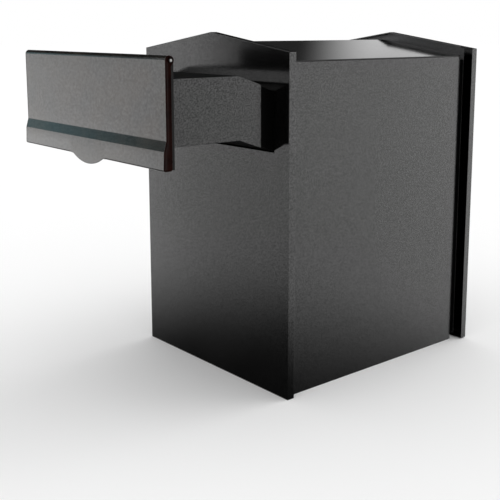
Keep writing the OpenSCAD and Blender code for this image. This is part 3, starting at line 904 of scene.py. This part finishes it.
def studio_light(tree, way):
    """The studio that glossy paint reflects, by direction: a band of light round the horizon,
    flags at the rear left and the front left, a softbox high at the front left, a faint blue
    glow on the left, the pale floor further down and a soft light overhead. The limits are
    parts of a unit vector, and the flags' are angles round the object."""
    x, y, z = split_xyz(tree, way)

    def product(first, *others):
        """Product of two or more values."""
        for other in others:
            first = math_node(tree, "MULTIPLY", first, other)
        return first

    def without(part):
        """What a mask leaves over."""
        return math_node(tree, "SUBTRACT", 1.0, part)

    # The band's lower and upper edges
    rear = smooth_range(tree, y, -0.2, 0.2)
    drop = math_node(tree, "ADD", z, smooth_range(tree, y, -0.45, 0.3, 0.0, 0.027))
    drop = math_node(tree, "ADD", drop, smooth_range(tree, y, 0.66, 0.82, 0.0, 0.025))
    below = smooth_range(tree, drop, -0.352, -0.245)
    lower = smooth_range(tree, z, -0.30, -0.06, 0.82, 1.0)
    lift = math_node(tree, "ADD", z, smooth_range(tree, y, -0.58, -0.50, 0.0, 0.05))
    above_front = smooth_range(tree, lift, 0.17, 0.04)
    above_rear = smooth_range(tree, z, 0.45, 0.12)
    above = math_node(tree, "ADD", product(rear, above_rear), product(without(rear), above_front))

    # Its level round the object. The front plate reflects the part that is furthest forward.
    plate_part = smooth_range(tree, y, -0.50, -0.58)
    rise = smooth_range(tree, z, -0.10, -0.03)
    front_level = math_node(tree, "ADD", smooth_range(tree, y, -0.62, -0.42, 1.34, 1.7),
                            product(plate_part, rise, 0.4))
    dip = product(without(plate_part), without(rear), smooth_range(tree, z, -0.07, -0.125), 0.6)
    front_level = math_node(tree, "ADD", front_level, dip)
    rear_high = smooth_range(tree, math_node(tree, "MULTIPLY", z, rear), 0.02, 0.15, 1.0, 0.55)
    rear_more = smooth_range(tree, y, 0.3, 0.85, 1.0, 1.2)
    level = product(front_level, below, lower, above, rear_high, rear_more)

    # Dark flags at the rear left and the front left
    turn = math_node(tree, "ARCTAN2", y, math_node(tree, "MULTIPLY", x, -1.0))
    flag_right = smooth_range(tree, turn, math.radians(49.2), math.radians(44.1))
    flag_left = smooth_range(tree, turn, math.radians(0), math.radians(20))
    flag_rear = product(flag_right, flag_left, smooth_range(tree, z, 0.03, 0.13))
    side_right = smooth_range(tree, turn, math.radians(-37.2), math.radians(-39.0))
    side_left = smooth_range(tree, turn, math.radians(-46.5), math.radians(-43.5))
    flag_front = product(side_right, side_left, smooth_range(tree, z, -0.105, -0.075))
    clear = product(without(flag_rear), without(product(flag_front, 0.97)))

    # Lights outside the band
    glow = product(smooth_range(tree, x, -0.81, -0.90), smooth_range(tree, z, 0.04, 0.10),
                   smooth_range(tree, z, 0.36, 0.2), without(rear))
    softbox = product(smooth_range(tree, y, -0.36, -0.44), smooth_range(tree, x, -0.82, -0.79),
                      smooth_range(tree, z, 0.18, 0.26), smooth_range(tree, z, 0.7, 0.58))
    floor_part = smooth_range(tree, z, -0.46, -0.64, 0.0, 0.6)
    overhead = smooth_range(tree, z, 0.62, 0.86, 0.0, 0.8)
    level = product(level, clear)
    for part in (product(softbox, 2.6), floor_part, overhead):
        level = math_node(tree, "ADD", level, part)
    return level, glow


def make_world():
    """White behind the object, an even dome for matt surfaces and a studio for glossy ones."""
    world = bpy.data.worlds.new("studio")
    world.use_nodes = True
    bpy.context.scene.world = world
    tree = world.node_tree
    tree.nodes.clear()
    way = tree.nodes.new("ShaderNodeTexCoord").outputs["Generated"]
    rays = tree.nodes.new("ShaderNodeLightPath").outputs

    level, glow = studio_light(tree, way)
    band = add(tree, "ShaderNodeBackground", Color=(1, 1, 1, 1))
    link(tree, math_node(tree, "ADD", level, 0.03), band.inputs["Strength"])
    blue = add(tree, "ShaderNodeBackground", Color=(0.40, 0.66, 0.72, 1))
    link(tree, glow, blue.inputs["Strength"])
    glossy = tree.nodes.new("ShaderNodeAddShader")
    link(tree, band.outputs[0], glossy.inputs[0])
    link(tree, blue.outputs[0], glossy.inputs[1])
    matt = add(tree, "ShaderNodeBackground", Color=(1, 1, 1, 1), Strength=0.97)
    white = add(tree, "ShaderNodeBackground", Color=(1, 1, 1, 1), Strength=1.0)

    lighting = tree.nodes.new("ShaderNodeMixShader")
    link(tree, rays["Is Glossy Ray"], lighting.inputs["Fac"])
    link(tree, matt.outputs[0], lighting.inputs[1])
    link(tree, glossy.outputs[0], lighting.inputs[2])
    seen = tree.nodes.new("ShaderNodeMixShader")
    link(tree, rays["Is Camera Ray"], seen.inputs["Fac"])
    link(tree, lighting.outputs[0], seen.inputs[1])
    link(tree, white.outputs[0], seen.inputs[2])
    out = tree.nodes.new("ShaderNodeOutputWorld")
    link(tree, seen.outputs[0], out.inputs["Surface"])


def make_studio():
    """Camera, floor and lights, with plain colours."""
    make_camera()
    make_floor()
    make_world()
    make_sun()
    bpy.context.scene.view_settings.view_transform = "Standard"


make_studio()
paint_nodes()
soften_sheets()
make_flap_skin()
make_end_cap(1, "flap_cap_right", "flap_end_cap_right")
make_end_cap(-1, "flap_cap_left", "flap_end_cap_left")
make_springs()
make_rivets()
make_studs_and_nuts()
make_lock_barrel()
make_gasket()
make_bumpers()
